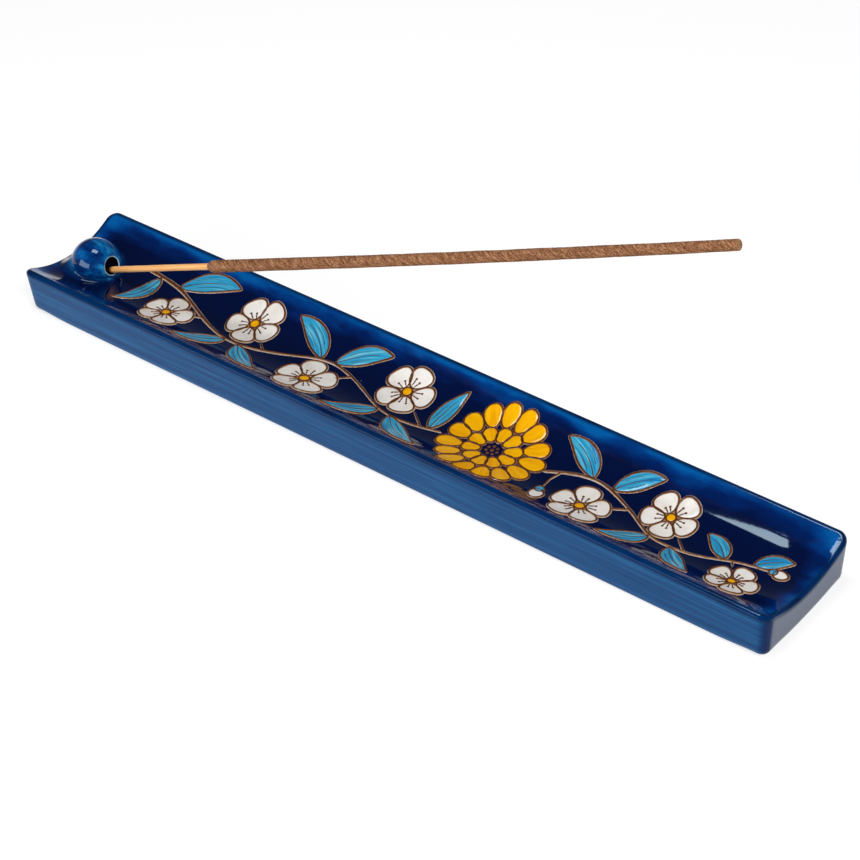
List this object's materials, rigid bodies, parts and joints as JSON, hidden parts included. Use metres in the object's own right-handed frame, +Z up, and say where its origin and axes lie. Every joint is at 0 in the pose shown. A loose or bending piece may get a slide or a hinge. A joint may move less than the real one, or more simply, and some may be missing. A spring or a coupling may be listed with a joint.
{
  "type": "incense burner",
  "caption": "Long, shallow glazed ceramic incense tray with a dished ash channel and a round holder that tilts a bamboo-core incense stick over it.",
  "frame": {"origin": "middle of the tray's foot, on the surface it stands on", "axes": "+X along the tray from the ball towards the far end of the stick, +Z up"},
  "size_m": [0.2436, 0.0366, 0.0984],
  "materials": {
    "cobalt_glaze": "glossy brushed cobalt glaze",
    "ball_glaze": "glossy cobalt glaze, thinner on the upper edge",
    "pooled_glaze": "glossy, thick and dark",
    "bamboo": "split, dry",
    "incense": "matt, grainy rolled paste"
  },
  "bodies": {
    "tray": {"tray": "cobalt_glaze", "stick_holder_ball": "ball_glaze", "glaze_fillet": "pooled_glaze"},
    "stick": {"bamboo_core": "bamboo", "incense_coating": "incense"}
  },
  "joints": [
    {"name": "stick_slide", "type": "slide", "parent": "tray", "child": "stick", "axis": [0.9191, 0, 0.3939], "range_m": [0, 0.03]}
  ]
}
